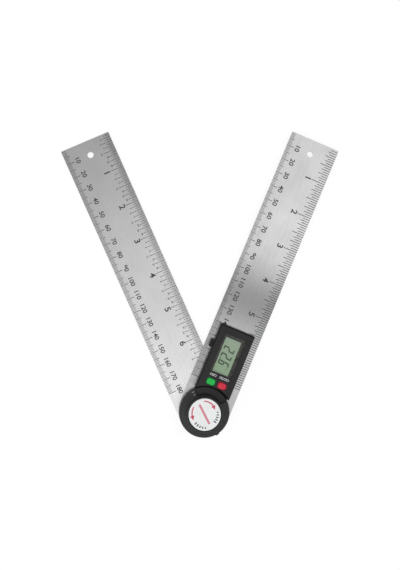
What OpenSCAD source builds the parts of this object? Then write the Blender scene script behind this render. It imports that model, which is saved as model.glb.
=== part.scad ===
// Digital angle finder: two ruler blades on one lockable pivot, with the display unit on the upper blade.
// Millimetres. The origin is on the pivot axis at the underside of the lower blade, +Z is up, and +Y halves
// the angle between the blades. Each blade is drawn along its own +X, with its inch edge toward -Y.

/* [Blades] */
// Pivot axis to the tip of each blade
arm_length = 200; // [150:5:300]
// Width of each blade
blade_w = 34.8; // [34:0.2:40]
// Thickness of each blade
blade_t = 1.2; // [1:0.1:1.6]
// Included angle between the blades as stored
opening = 46.6; // [20:0.2:180]
// Rounding of the blade's tip corners
tip_corner_r = 0.5; // [0.2:0.1:2]
// Diameter of the hanging hole
hang_hole_d = 4.2; // [3:0.2:6]
// Blade tip to the centre of the hanging hole
hang_hole_inset = 9.8; // [7:0.2:15]

/* [Pivot] */
// Diameter of the journal that the upper blade turns on
journal_d = 12; // [11:0.2:13]
// Radial clearance of the running fits
running_clearance = 0.05; // [0.02:0.01:0.1]
// Diameter of the stud's neck, where the encoder rotor is keyed
neck_d = 8; // [7.6:0.2:8.6]
// Depth of the flat on the neck
key_depth = 0.6; // [0.4:0.1:0.8]
// Diameter of the stud's thread
thread_d = 6; // [5:0.2:6.6]
// Diameter of the stud's riveted spigot in the lower blade
spigot_d = 4; // [3:0.2:4.6]
// How far the friction washer between the blades lies inside their round ends
friction_washer_inset = 3.9; // [3.9:0.1:5.5]
// Thickness of the friction washer
friction_washer_t = 0.2; // [0.1:0.05:0.4]
// Gap between the encoder rotor's edge and the collar round it
rotor_rim_gap = 0.7; // [0.6:0.1:1.5]
// Thickness of the encoder rotor
rotor_t = 0.8; // [0.6:0.1:1.2]
// Air gap between the rotor and the board under it
encoder_gap = 0.2; // [0.15:0.05:0.4]
// Height of the wave spring as fitted
spring_h = 0.7; // [0.5:0.1:1]
// Thickness of the wave spring's strip
spring_t = 0.25; // [0.2:0.05:0.3]
// Number of waves round the spring
spring_waves = 3; // [3:1:5]
// Thickness of the retaining ring
ring_t = 0.5; // [0.4:0.1:0.8]
// Depth of the retaining ring's groove
ring_groove = 0.45; // [0.3:0.05:0.6]

/* [Lock knob] */
// How far the knob's ribbed rim lies inside the blade's round end
knob_inset = 0.4; // [0:0.1:0.6]
// Height of the knob from its underside to the rim of its raised centre
knob_h = 7.8; // [6:0.2:9]
// Height of the ribbed rim
knob_rim_h = 2.5; // [2:0.1:3]
// Width of the raised centre's rim round the label disc
label_rim = 1.2; // [0.8:0.1:1.4]
// Number of ribs round the rim
knob_ribs = 72; // [48:4:96]
// Radius of the groove between two ribs
knob_groove_r = 0.4; // [0.3:0.05:0.5]
// Wall of the knob's shell
knob_wall = 1.4; // [1.2:0.1:1.8]
// Distance from the knob's edge to the label disc
label_margin = 6.4; // [5.6:0.1:7]
// Thickness of the label disc
label_t = 0.2; // [0.1:0.05:0.3]
// Width of the thumb tab on the rim
tab_w = 2.4; // [1.6:0.2:4]
// How far the thumb tab stands out of the rim
tab_reach = 0.6; // [0.4:0.1:1]
// Direction of the thumb tab, counted from the lower blade
tab_angle = -173; // [-178:1:-100]
// Angle of the lower step in the rim, which faces the display unit
step_angle = 87; // [60:1:110]
// Depth of that step
step_depth = 1.2; // [0.8:0.1:1.4]
// Distance across the flats of the threaded insert
insert_af = 9; // [8.4:0.2:10]
// Width of the pressure washer under the knob
pressure_washer_w = 2.2; // [1.8:0.1:2.4]
// Thickness of the pressure washer
pressure_washer_t = 0.4; // [0.3:0.1:0.8]

/* [Housing] */
// Shift of the housing's centre line toward the millimetre edge
housing_shift = 0.4; // [-0.8:0.1:0.8]
// Gap between the knob's thumb tab and the housing's hollow end
arc_gap = 0.3; // [0.2:0.1:1]
// Wall of the housing's sides
wall = 1.1; // [1:0.1:1.6]
// Wall of the housing's hollow end
arc_wall = 0.8; // [0.6:0.1:1]
// Thickness of the housing's top
top_t = 1.4; // [1.3:0.1:2]
// Chamfer round the housing's top
edge_chamfer = 0.5; // [0.2:0.1:0.8]
// Chamfer of the housing's far top edge; the hollow end's is a tenth less
end_chamfer = 0.9; // [0.4:0.1:1]
// Floor of the housing base
base_floor_t = 0.6; // [0.5:0.1:1]
// How far the base's collar about the pivot lies inside the blade's round end
collar_inset = 0.6; // [0.3:0.1:0.9]
// Height of the collar over the board
collar_lip = 0.6; // [0.5:0.1:0.8]
// Wall of the collar
collar_wall = 2.5; // [2.4:0.1:2.8]
// Width of the neck between the collar and the display unit
neck_w = 14; // [12:0.5:16]
// Clearance between pieces that are put together by hand
fit = 0.1; // [0.05:0.05:0.2]

/* [Display] */
// Length of the window along the blade
window_l = 27.2; // [26:0.2:29]
// Width of the window
window_w = 15; // [14:0.2:15.6]
// Thickness of the window
window_t = 0.8; // [0.6:0.1:0.9]
// How far the window's face lies below the housing's top
window_sink = 0.2; // [0.1:0.05:0.3]
// Ledge that the window is glued on
window_ledge = 0.8; // [0.6:0.1:1]
// Middle of the housing's hollow end to the centre of the window
window_offset = 23.2; // [22.4:0.1:24]
// Shift of the window toward the inch edge, from the housing's centre line
window_shift = 0.2; // [0:0.1:0.9]
// Thickness of each of the display's two glasses
glass_t = 0.6; // [0.5:0.1:0.9]
// Rim of the display glass under the housing's top
glass_rim = 0.9; // [0.6:0.1:1.1]
// Thickness of the foam gasket on the glass
gasket_t = 0.3; // [0.2:0.1:0.6]
// Width of the conductive rubber strip
strip_w = 1.2; // [0.8:0.1:1.4]
// Gap between the strip and the cell
strip_gap = 0.4; // [0.1:0.05:0.5]

/* [Buttons] */
// Button size along the blade
button_l = 4.6; // [4:0.1:4.8]
// Button size across the blade
button_w = 6; // [5:0.1:6.4]
// Distance between the two buttons' centres
button_pitch = 8; // [7.8:0.1:8.6]
// Middle of the housing's hollow end to the buttons' centres
button_offset = 3.4; // [3.2:0.1:3.8]
// How far a button stands out of the housing
button_proud = 0.5; // [0.3:0.1:0.9]
// Corner radius of a button
button_r = 1.2; // [0.8:0.1:1.8]
// Clearance round a button
button_clearance = 0.12; // [0.1:0.02:0.16]
// Travel of a button
button_travel = 0.4; // [0.3:0.05:0.5]
// Side of a key switch
switch_w = 3.4; // [3:0.1:3.8]
// Height of a key switch
switch_h = 2.6; // [2:0.1:3]

/* [Battery] */
// Diameter of the coin cell
cell_d = 20; // [19.6:0.1:20.4]
// Thickness of the coin cell
cell_t = 3.2; // [2.5:0.1:3.6]
// Floor of the battery tray
tray_floor = 0.5; // [0.4:0.1:0.8]
// Wall of the battery tray beside the cell
tray_wall = 0.7; // [0.6:0.1:1.2]
// Length of the tray's finger lip
lip_l = 5.4; // [4:0.2:8]
// How far the lip stands out of the housing
lip_reach = 2.1; // [1.5:0.1:4]
// Thickness of the lip
lip_t = 1.4; // [1:0.1:2]
// Thickness of the contact strips
contact_t = 0.15; // [0.1:0.05:0.25]
// Width of the contact strips
contact_w = 3; // [2:0.2:4]

/* [Board] */
// Distance from the buttons' centres to the controller chip
chip_offset = 9.5; // [9.3:0.1:12]
// Gap between the controller chip and the battery tray
chip_gap = 0.5; // [0.4:0.1:4]
// Thickness of the circuit board
board_t = 0.6; // [0.5:0.1:1]
// Gap between the board's edge and the walls round it
board_gap = 0.3; // [0.2:0.05:0.5]
// Diameter of the resin drop over the controller chip
chip_d = 5.6; // [4:0.2:6]
// Height of the resin drop
chip_h = 1.1; // [0.8:0.1:1.6]
// Diameter of the clock crystal's can
crystal_d = 1.8; // [1.4:0.1:2]
// Length of the clock crystal's can
crystal_l = 5; // [4:0.2:6]

/* [Fasteners] */
// Shank diameter of the housing's and collar's screws
screw_d = 1.6; // [1.4:0.1:1.7]
// Head diameter of those screws
screw_head_d = 3; // [2.8:0.1:3.2]
// Outer radius of the housing's screw bosses
boss_r = 1.4; // [1.3:0.1:1.6]
// Shank diameter of the pivot's screws
pivot_screw_d = 2; // [1.6:0.1:2.2]
// Head diameter of the pivot's screws
pivot_screw_head_d = 3.6; // [3.4:0.1:3.8]
// Radius of the circle that the pivot's screws lie on
pivot_screw_circle = 4; // [4:0.1:4.1]
// Number of the pivot's screws
pivot_screw_count = 3; // [3:1:3]
// How far a screw's head lies below the blade's face
head_sink = 0.1; // [0.05:0.05:0.15]

/* [Hidden] */
$fn = 64;

eps = 0.01;
face_gap = 0.02;
lower_angle = 90 + opening / 2;
upper_angle = 90 - opening / 2;

// Heights, from the underside of the lower blade upward
z_lower_top = blade_t;
z_upper = z_lower_top + friction_washer_t;
z_upper_top = z_upper + blade_t;
z_floor_top = z_upper_top + base_floor_t;
z_board_top = z_floor_top + board_t;
z_rotor = z_board_top + encoder_gap;
z_rotor_top = z_rotor + rotor_t;
z_ring = z_rotor_top + spring_h;
z_ring_top = z_ring + ring_t;
z_collar_top = z_board_top + collar_lip;
z_knob = z_collar_top + pressure_washer_t + face_gap;
z_knob_top = z_knob + knob_h;
z_label = z_knob_top - 2 * label_t;
z_cap = z_label - knob_wall;
stud_tip = 0.3;
z_stud_top = z_cap - 3 * stud_tip;
z_tray = z_board_top + fit + 0.05;
z_cell = z_tray + tray_floor;
z_cell_top = z_cell + cell_t;
z_glass = z_cell_top + 2 * fit;
z_front_glass = z_glass + glass_t;
z_gasket = z_front_glass + glass_t;
z_cavity_top = z_gasket + gasket_t;
z_top = z_cavity_top + top_t;
z_window = z_top - window_sink - window_t;

// Radii about the pivot
journal_r = journal_d / 2;
neck_r = neck_d / 2;
thread_r = thread_d / 2;
knob_r = blade_w / 2 - knob_inset;
label_r = knob_r - label_margin;
boss_r_out = label_r + label_rim;
arc_r = knob_r + tab_reach + arc_gap;
collar_r = blade_w / 2 - collar_inset;
collar_inner_r = collar_r - collar_wall;
rotor_r = collar_inner_r - rotor_rim_gap;
collar_screw_circle = collar_r - collar_wall / 2 - 0.15;
ring_outer_r = neck_r + 1.6;
insert_r = insert_af / 2 / cos(30);

// The battery's place along the blade: hollow end, buttons, controller chip, tray, far screws
button_x = arc_r + button_offset;
chip_x = button_x + chip_offset;
tray_half = cell_d / 2 + fit + tray_wall;
cell_x = chip_x + chip_d / 2 + chip_gap + tray_half;

// The housing's outline in the upper blade's own frame. Its straight sides start inside the hollow's circle
outline_start = 0.65 * arc_r;
inner_end = cell_x + tray_half + fit + 2 * boss_r;
housing_end = inner_end + wall;
window_x = arc_r + window_offset;
housing_w = 2 * wall + cell_d + 2 * fit + strip_w + strip_gap;
mm_side = housing_shift + housing_w / 2;
inch_side = housing_shift - housing_w / 2;
inner_mm = mm_side - wall;
inner_inch = inch_side + wall;
window_y = housing_shift - window_shift;

// The battery's place across the blade
cell_y = inner_mm - fit - cell_d / 2;
tray_depth = 0.85 * cell_d;
strip_x = window_x;
strip_l = window_l - 2;

// Screws: [x, y] of each, in the upper blade's frame
near_boss_x = window_x - window_l / 2 - boss_r - 3 * fit - glass_rim + window_ledge;
boss_places = [
    [near_boss_x, inner_inch + boss_r], [near_boss_x, inner_mm - boss_r],
    [inner_end - boss_r, inner_inch + boss_r], [inner_end - boss_r, inner_mm - boss_r]
];
collar_screw_angles = [90, 180, 270];
button_y = [button_pitch / 2 + housing_shift, -button_pitch / 2 + housing_shift];

// ---- Shared shapes -------------------------------------------------------------------------------

module on_lower() { rotate([0, 0, lower_angle]) children(); }
module on_upper() { rotate([0, 0, upper_angle]) children(); }

// A flat ring between two radii
module ring(outer, inner, z, h) {
    translate([0, 0, z]) difference() {
        cylinder(r = outer, h = h);
        translate([0, 0, -1]) cylinder(r = inner, h = h + 2);
    }
}

// A rectangle with rounded corners, centred on the origin
module rounded_plate(l, w, r, h) {
    linear_extrude(h) union() {
        square([l - 2 * r, w], center = true);
        square([l, w - 2 * r], center = true);
        for (x = [-1, 1], y = [-1, 1])
            translate([x * (l / 2 - r), y * (w / 2 - r)]) circle(r = r);
    }
}

// A countersunk screw standing on its head, and the hole that takes it, wider by the slack
module countersunk(shank, head, z, top, slack = 0) {
    cone_h = (head - shank) / 2;
    translate([0, 0, z]) cylinder(d1 = head + 2 * slack, d2 = shank + 2 * slack, h = cone_h);
    translate([0, 0, z + cone_h - eps]) cylinder(d = shank + 2 * slack, h = top - z - cone_h + eps);
}

// The cross recess in a screw's head
module cross_recess(size, z) {
    for (a = [0, 90]) rotate([0, 0, a])
        translate([-size / 2, -size / 10, z - eps]) cube([size, size / 5, 0.35]);
}

// One ruler blade: straight to its tip, round and concentric with the pivot at its other end
module blade(z, bore_r) {
    translate([0, 0, z]) difference() {
        linear_extrude(blade_t) union() {
            circle(d = blade_w);
            translate([0, -blade_w / 2]) square([arm_length - tip_corner_r, blade_w]);
            translate([0, tip_corner_r - blade_w / 2]) square([arm_length, blade_w - 2 * tip_corner_r]);
            for (s = [-1, 1]) translate([arm_length - tip_corner_r, s * (blade_w / 2 - tip_corner_r)])
                circle(r = tip_corner_r);
        }
        translate([0, 0, -1]) cylinder(r = bore_r, h = blade_t + 2);
        translate([arm_length - hang_hole_inset, 0, -1]) cylinder(d = hang_hole_d, h = blade_t + 2);
    }
}

module at_pivot_screws() {
    for (i = [0 : pivot_screw_count - 1]) rotate([0, 0, i * 360 / pivot_screw_count + 60])
        translate([pivot_screw_circle, 0, 0]) children();
}

module at_collar_screws() {
    for (a = collar_screw_angles) rotate([0, 0, a]) translate([collar_screw_circle, 0, 0]) children();
}

module at_housing_screws() {
    for (p = boss_places) translate([p.x, p.y, 0]) children();
}

// The neck's section, which keys the rotor: a circle with one flat
module keyed_circle(slack) {
    difference() {
        circle(r = neck_r + slack);
        translate([neck_r - key_depth + slack, -neck_d]) square([neck_d, 2 * neck_d]);
    }
}

// The inside outline of the display unit, drawn in by a margin
module unit_outline(margin, arc_margin) {
    difference() {
        translate([outline_start, inner_inch + margin])
            square([inner_end - margin - outline_start, inner_mm - inner_inch - 2 * margin]);
        circle(r = arc_r + arc_wall + arc_margin);
    }
}

// ---- Pieces fixed to the lower blade -----------------------------------------------------------------

module lower_blade() {
    color([0.74, 0.74, 0.75]) on_lower() difference() {
        blade(0, spigot_d / 2 + running_clearance);
        at_pivot_screws() translate([0, 0, -eps])
            countersunk(pivot_screw_d, pivot_screw_head_d, head_sink, z_lower_top + 1, 0.05);
        at_pivot_screws() translate([0, 0, -1]) cylinder(d = pivot_screw_head_d + 0.1, h = 1 + head_sink);
    }
}

module pivot_stud() {
    z_thread = z_ring_top + ring_t / 2;
    color([0.62, 0.63, 0.65]) on_lower() difference() {
        union() {
            translate([0, 0, 0]) cylinder(d = spigot_d, h = z_lower_top + eps);
            translate([0, 0, z_lower_top]) cylinder(r = journal_r, h = z_rotor - z_lower_top);
            translate([0, 0, z_rotor - eps]) linear_extrude(rotor_t + 2 * eps) keyed_circle(0);
            translate([0, 0, z_rotor_top]) cylinder(r = neck_r, h = z_thread - z_rotor_top);
            translate([0, 0, z_thread - eps]) cylinder(r = thread_r, h = z_stud_top - z_thread + eps);
            translate([0, 0, z_stud_top - eps])
                cylinder(r1 = thread_r, r2 = thread_r - stud_tip, h = stud_tip);
        }
        ring(neck_r + 1, neck_r - ring_groove, z_ring, ring_t);
        at_pivot_screws() translate([0, 0, z_lower_top - 1])
            cylinder(d = pivot_screw_d + 0.1, h = z_rotor - z_lower_top + 0.6);
    }
}

module pivot_screws() {
    color([0.55, 0.56, 0.58]) on_lower() at_pivot_screws() difference() {
        countersunk(pivot_screw_d, pivot_screw_head_d, head_sink, z_rotor - 0.6);
        cross_recess(pivot_screw_d, head_sink);
    }
}

module friction_washer() {
    color([0.9, 0.9, 0.86])
        ring(blade_w / 2 - friction_washer_inset, journal_r + 2 * fit, z_lower_top, friction_washer_t);
}

module encoder_rotor() {
    color([0.16, 0.42, 0.22]) on_lower() translate([0, 0, z_rotor]) linear_extrude(rotor_t) difference() {
        circle(r = rotor_r);
        keyed_circle(running_clearance);
    }
}

// A flat strip bent into even waves, which touches the rotor and the retaining ring by turns
module wave_spring() {
    steps = 24 * spring_waves;
    inner = neck_r + 2 * fit;
    outer = ring_outer_r;
    swing = (spring_h - spring_t) / 2 - face_gap;
    middle = z_rotor_top + spring_h / 2;
    function wave(i) = middle + swing * cos(360 * spring_waves * i / steps);
    function corner(i, r, dz) =
        [r * cos(360 * i / steps), r * sin(360 * i / steps), wave(i) + dz];
    points = [for (i = [0 : steps - 1]) each [
        corner(i, inner, -spring_t / 2), corner(i, outer, -spring_t / 2),
        corner(i, outer, spring_t / 2), corner(i, inner, spring_t / 2)
    ]];
    faces = [for (i = [0 : steps - 1], side = [0 : 3]) each [
        [4 * i + side, 4 * i + (side + 1) % 4, 4 * ((i + 1) % steps) + side],
        [4 * i + (side + 1) % 4, 4 * ((i + 1) % steps) + (side + 1) % 4, 4 * ((i + 1) % steps) + side]
    ]];
    color([0.7, 0.7, 0.72]) polyhedron(points, faces);
}

// An open ring, sprung into the stud's groove
module retaining_ring() {
    gap_w = neck_d * 0.75;
    color([0.5, 0.51, 0.53]) on_lower() difference() {
        ring(ring_outer_r, neck_r - ring_groove + 0.02, z_ring + 0.01, ring_t - 0.02);
        translate([0, -gap_w / 2, z_ring - 1]) cube([ring_outer_r + 1, gap_w, ring_t + 2]);
    }
}

// ---- Pieces fixed to the upper blade -----------------------------------------------------------------

module upper_blade() {
    color([0.8, 0.8, 0.81]) on_upper() difference() {
        blade(z_upper, journal_r + running_clearance);
        at_collar_screws() screw_hole(screw_d, screw_head_d);
        at_housing_screws() screw_hole(screw_d, screw_head_d);
    }
}

// A countersunk hole from the upper blade's underside
module screw_hole(shank, head) {
    translate([0, 0, z_upper - 1]) cylinder(d = head + 0.1, h = 1 + head_sink + eps);
    countersunk(shank, head, z_upper + head_sink, z_upper_top + 1, 0.05);
}

// The moulded base: a flat tray under the display unit and a low round collar about the pivot
module housing_base() {
    neck_l = arc_r + arc_wall + 1;
    color([0.15, 0.15, 0.16]) on_upper() difference() {
        union() {
            translate([0, 0, z_upper_top]) linear_extrude(base_floor_t) base_outline();
            ring(collar_r, collar_inner_r, z_upper_top, z_collar_top - z_upper_top);
            for (p = peg_places) translate([p.x, p.y, z_floor_top - eps]) heat_stake();
        }
        translate([0, 0, z_upper_top - 1]) cylinder(r = journal_r + board_gap, h = 3);
        translate([0, -neck_w / 2 + 1, z_floor_top])
            cube([neck_l, neck_w - 2, z_collar_top - z_floor_top + 1]);
        at_collar_screws() translate([0, 0, z_upper_top - 1])
            cylinder(d = screw_d + 0.1, h = z_collar_top - z_upper_top + 0.6);
        at_housing_screws() translate([0, 0, z_upper_top - 1]) cylinder(d = screw_d + 0.2, h = 4);
    }
}

peg_places = [[chip_x, inner_inch + 3], [chip_x, inner_mm - 2]];

module base_outline() {
    circle(r = collar_r);
    translate([journal_r, -neck_w / 2]) square([arc_r + arc_wall, neck_w]);
    unit_outline(fit, fit);
}

// A moulded peg that holds the board down, with its melted head
module heat_stake() {
    cylinder(r = 0.6, h = board_t + 2 * eps);
    translate([0, 0, board_t + eps]) cylinder(r1 = 1.1, r2 = 0.7, h = 0.4);
}

module collar_screws() {
    color([0.6, 0.6, 0.62]) on_upper() at_collar_screws() difference() {
        countersunk(screw_d, screw_head_d, z_upper + head_sink, z_collar_top - 0.6);
        cross_recess(screw_d, z_upper + head_sink);
    }
}

module housing_screws() {
    color([0.6, 0.6, 0.62]) on_upper() at_housing_screws() difference() {
        countersunk(screw_d, screw_head_d, z_upper + head_sink, z_cell_top);
        cross_recess(screw_d, z_upper + head_sink);
    }
}

// The board lies on the base; its round end carries the encoder's fixed plates
module main_board() {
    color([0.1, 0.36, 0.2]) on_upper() translate([0, 0, z_floor_top]) linear_extrude(board_t) difference() {
        union() {
            circle(r = collar_inner_r - board_gap);
            translate([journal_r + 1, -neck_w / 2 + 1 + board_gap])
                square([arc_r, neck_w - 2 - 2 * board_gap]);
            unit_outline(board_gap, board_gap);
        }
        circle(r = journal_r + 2 * board_gap);
        for (p = boss_places) translate(p) circle(r = boss_r + board_gap);
        for (p = peg_places) translate(p) circle(r = 0.65);
    }
}

module controller_chip() {
    dome_r = (pow(chip_d / 2, 2) + pow(chip_h, 2)) / (2 * chip_h);
    color([0.06, 0.06, 0.07]) on_upper() translate([chip_x, housing_shift, z_board_top])
        intersection() {
            translate([0, 0, chip_h - dome_r]) sphere(r = dome_r);
            cylinder(d = chip_d + 1, h = chip_h + 1);
        }
}

module clock_crystal() {
    color([0.78, 0.78, 0.76]) on_upper()
        translate([chip_x - 0.6 * crystal_l, housing_shift + chip_d / 2 + 2.5, z_board_top + crystal_d / 2])
            rotate([0, 90, 0]) cylinder(d = crystal_d, h = crystal_l);
}

module key_switches() {
    color([0.82, 0.82, 0.84]) on_upper() for (y = button_y) translate([button_x, y, z_board_top])
        difference() {
            rounded_plate(switch_w, switch_w, 0.4, switch_h);
            translate([0, 0, switch_h - 0.8]) cylinder(r = 1.1, h = 1);
        }
}

// A strip soldered to the board, bowed up through the tray's slot to the cell's lower face
module negative_contact() {
    bow_l = 8;
    rise = z_cell - fit - z_board_top;
    color([0.85, 0.8, 0.6]) on_upper() translate([cell_x, cell_y, z_board_top])
        rotate([0, 0, -90]) rotate([90, 0, 0]) linear_extrude(contact_w, center = true)
            polygon([
                [-bow_l / 2 - 1, 0], [-bow_l / 2, 0], [-1, rise - contact_t], [1, rise - contact_t],
                [bow_l / 2, 0], [bow_l / 2, contact_t], [1, rise], [-1, rise],
                [-bow_l / 2, contact_t], [-bow_l / 2 - 1, contact_t]
            ]);
}

// An upright leaf beside the cell's round edge, on the side away from the display's far end
module positive_contact() {
    along = 0.78 * cell_d / 2;
    across = sqrt(pow(cell_d / 2, 2) - pow(along, 2));
    color([0.85, 0.8, 0.6]) on_upper()
        translate([cell_x - along, cell_y - across - fit - contact_t, z_board_top]) union() {
            translate([-contact_w, 0, 0]) cube([contact_w, contact_t, z_cell_top - z_board_top - 0.5]);
            translate([-contact_w, -1.2, 0]) cube([contact_w, 1.2 + eps, contact_t]);
        }
}

module conductive_strip() {
    color([0.2, 0.2, 0.2]) on_upper() translate([strip_x - strip_l / 2, inner_inch + fit / 2, z_board_top])
        cube([strip_l, strip_w, z_front_glass - z_board_top]);
}

// Two glasses: the front one reaches over the conductive strip, the rear one stops beside it
module display_panel() {
    front_l = window_l + 2 * (glass_rim - window_ledge);
    far_edge = window_y + window_w / 2 + glass_rim - window_ledge;
    rear_edge = inner_inch + strip_w + 3 * fit;
    color([0.6, 0.67, 0.56]) on_upper() union() {
        translate([window_x - front_l / 2, inner_inch + fit / 2, z_front_glass])
            cube([front_l, far_edge - inner_inch - fit / 2, glass_t]);
        translate([window_x - front_l / 2, rear_edge, z_glass])
            cube([front_l, far_edge - rear_edge, glass_t + eps]);
    }
}

// A foam frame between the glass and the housing's top
module display_gasket() {
    far_edge = window_y + window_w / 2 + glass_rim - window_ledge;
    near_edge = inner_inch + fit;
    color([0.1, 0.1, 0.1]) on_upper() translate([0, 0, z_gasket]) linear_extrude(gasket_t) difference() {
        translate([window_x - window_l / 2, near_edge]) square([window_l, far_edge - near_edge]);
        translate([window_x - window_l / 2 + window_ledge, window_y - window_w / 2 + window_ledge])
            square([window_l - 2 * window_ledge, window_w - 2 * window_ledge]);
    }
}

module display_window() {
    color([0.75, 0.8, 0.76, 0.5]) on_upper() translate([window_x, window_y, z_window])
        rounded_plate(window_l - fit, window_w - fit, 0.5, window_t);
}

// The moulded cover: four walls on the blade, one of them hollowed about the knob, and the top
module housing_cover() {
    length = housing_end - outline_start;
    color([0.2, 0.2, 0.21]) on_upper() difference() {
        union() {
            difference() {
                translate([0, 0, z_upper_top]) linear_extrude(z_top - z_upper_top) difference() {
                    translate([outline_start, inch_side]) square([length, housing_w]);
                    circle(r = arc_r);
                }
                translate([0, 0, z_upper_top - 1]) linear_extrude(z_cavity_top - z_upper_top + 1)
                    unit_outline(0, 0);
            }
            at_housing_screws() translate([0, 0, z_floor_top + fit])
                cylinder(r = boss_r, h = z_cavity_top - z_floor_top);
        }
        top_chamfers();
        neck_passage();
        window_cut();
        for (y = button_y) translate([button_x, y, z_cavity_top - 0.3])
            rounded_plate(button_l + 2 * button_clearance, button_w + 2 * button_clearance,
                button_r + button_clearance, top_t + 1);
        at_housing_screws() cylinder(d = screw_d + 0.1, h = z_cell_top + 0.4);
        tray_slot();
    }
}

// The bevel along the three straight top edges, round the corners and along the hollow edge
module top_chamfers() {
    c = edge_chamfer;
    e = end_chamfer;
    far = housing_end;
    for (side = [[mm_side, 1], [inch_side, -1]]) translate([0, side[0], z_top])
        rotate([90, 0, 90]) linear_extrude(far + 1)
            polygon([[side[1] * -c, 0], [side[1], 0], [side[1], -c - 1], [0, -c], [side[1] * -c, 0]]);
    translate([far, inch_side - 1, z_top]) rotate([90, 0, 180]) mirror([0, 0, 1])
        translate([0, 0, -housing_w - 2]) mirror([0, 0, 1]) mirror([0, 0, 1])
            linear_extrude(housing_w + 2) polygon([[e, 0], [-1, 0], [-1, -e - 1], [0, -e]]);
    hollow = 0.9 * e;
    translate([0, 0, z_top]) rotate_extrude() polygon([[arc_r - 1, eps], [arc_r + hollow, eps],
        [arc_r + hollow, 0], [arc_r, -hollow], [arc_r - 1, -hollow]]);
}

// The way for the base's neck and the board, under the hollow wall
module neck_passage() {
    translate([outline_start, -neck_w / 2 - fit, z_upper_top - 1])
        cube([arc_r + arc_wall + 2 - outline_start, neck_w + 2 * fit, z_board_top + fit - z_upper_top + 1]);
}

module window_cut() {
    translate([window_x, window_y, z_window - fit / 2])
        rounded_plate(window_l, window_w, 0.6, z_top - z_window + 1);
    translate([window_x, window_y, z_cavity_top - 1])
        rounded_plate(window_l - 2 * window_ledge, window_w - 2 * window_ledge, 0.4, top_t);
}

// The way for the battery tray, through the wall on the millimetre side
module tray_slot() {
    translate([cell_x - tray_half - fit, inner_mm - 1, z_tray - fit])
        cube([2 * (tray_half + fit), wall + 2, z_cell_top - z_tray + 2 * fit]);
}

module pressure_washer() {
    middle = collar_r - collar_wall / 2;
    color([0.72, 0.72, 0.74])
        ring(middle + pressure_washer_w / 2, middle - pressure_washer_w / 2, z_collar_top, pressure_washer_t);
}

// ---- Lock knob ------------------------------------------------------------------------------------------

// Half of the knob's section: ribbed rim, cove up to the raised centre, hollow under it
module knob_section() {
    rim_in = collar_inner_r - 0.2;
    rim_top = z_knob + knob_rim_h;
    hub_r = insert_r + 1.1;
    z_hub = z_ring_top + 0.4;
    z_hollow = max(rim_top - step_depth - 0.9, z_rotor_top + 0.2);
    polygon([
        [0, z_hub], [hub_r, z_hub], [hub_r, z_cap], [boss_r_out - knob_wall, z_cap],
        [boss_r_out - knob_wall, z_hollow + 1], [boss_r_out - 0.4, z_hollow], [rim_in, z_hollow],
        [rim_in, z_knob],
        [knob_r - 0.3, z_knob], [knob_r, z_knob + 0.3], [knob_r, rim_top - 0.5], [knob_r - 0.5, rim_top],
        [knob_r - 1.6, rim_top], [boss_r_out + 1.2, rim_top + 0.5], [boss_r_out + 0.3, rim_top + 1.5],
        [boss_r_out, rim_top + 2.2], [boss_r_out, z_knob_top - 0.4], [boss_r_out - 0.4, z_knob_top],
        [label_r + 0.1, z_knob_top], [label_r + 0.1, z_label], [0, z_label]
    ]);
}

module lock_knob() {
    rim_top = z_knob + knob_rim_h;
    color([0.17, 0.17, 0.18]) on_lower() difference() {
        union() {
            rotate_extrude() knob_section();
            rotate([0, 0, tab_angle]) translate([knob_r - 1.5, -tab_w / 2, z_knob + 0.6])
                cube([1.5 + tab_reach, tab_w, knob_rim_h - 1.3]);
        }
        rib_grooves();
        translate([0, 0, rim_top - step_depth]) rotate([0, 0, -step_angle]) rotate_extrude(angle = step_angle)
            translate([boss_r_out + 0.6, 0]) square([knob_r, step_depth + 1.4]);
        insert_pocket(0);
    }
}

// The grooves between the rim's ribs, left out where the thumb tab and the step are
module rib_grooves() {
    pitch = 360 / knob_ribs;
    tab_half = asin(tab_w / 2 / knob_r) + pitch / 2;
    for (i = [0 : knob_ribs - 1]) {
        angle = (i + 0.5) * pitch;
        off_tab = abs(angle - (tab_angle + 360)) > tab_half;
        if (off_tab && angle < 360 - step_angle - pitch / 2)
            rotate([0, 0, angle]) translate([knob_r + knob_groove_r / 3, 0, z_knob - 1])
                cylinder(r = knob_groove_r, h = knob_rim_h + 2, $fn = 24);
    }
}

// The hexagonal place of the insert, open at the hub's underside
module insert_pocket(slack) {
    translate([0, 0, z_ring_top]) cylinder(r = insert_r + slack, h = z_cap - z_ring_top - 0.2, $fn = 6);
}

module knob_insert() {
    z_bottom = z_ring_top + 0.4;
    color([0.8, 0.66, 0.32]) on_lower() difference() {
        translate([0, 0, z_bottom]) cylinder(r = insert_r, h = z_cap - 0.2 - z_bottom, $fn = 6);
        translate([0, 0, z_bottom - 1]) cylinder(r = thread_r + running_clearance, h = knob_h + 2);
    }
}

module knob_label() {
    color([0.95, 0.95, 0.94]) on_lower() translate([0, 0, z_label]) cylinder(r = label_r, h = label_t);
}

// ---- Buttons --------------------------------------------------------------------------------------------

// A key cap with a low crown, a flange on three sides that stops it under the housing's top, and a stem
module button(y) {
    flange = 0.6;
    flange_t = 0.7;
    z_flange = z_cavity_top - flange_t - face_gap;
    z_stem = z_board_top + switch_h - 0.4 + button_travel + 0.1;
    cap_h = z_top + button_proud - z_flange;
    translate([button_x, y, 0]) {
        translate([0, 0, z_flange]) rounded_plate(button_l, button_w, button_r, cap_h - 0.25);
        translate([0, 0, z_flange + cap_h - 0.25 - eps])
            rounded_plate(button_l - 0.5, button_w - 0.5, button_r - 0.2, 0.25);
        translate([-button_l / 2 + 1, -button_w / 2 - flange, z_flange])
            cube([button_l - 1 + flange, button_w + 2 * flange, flange_t]);
        translate([0, 0, z_stem]) cylinder(r = 0.9, h = z_flange - z_stem + eps);
    }
}

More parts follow.
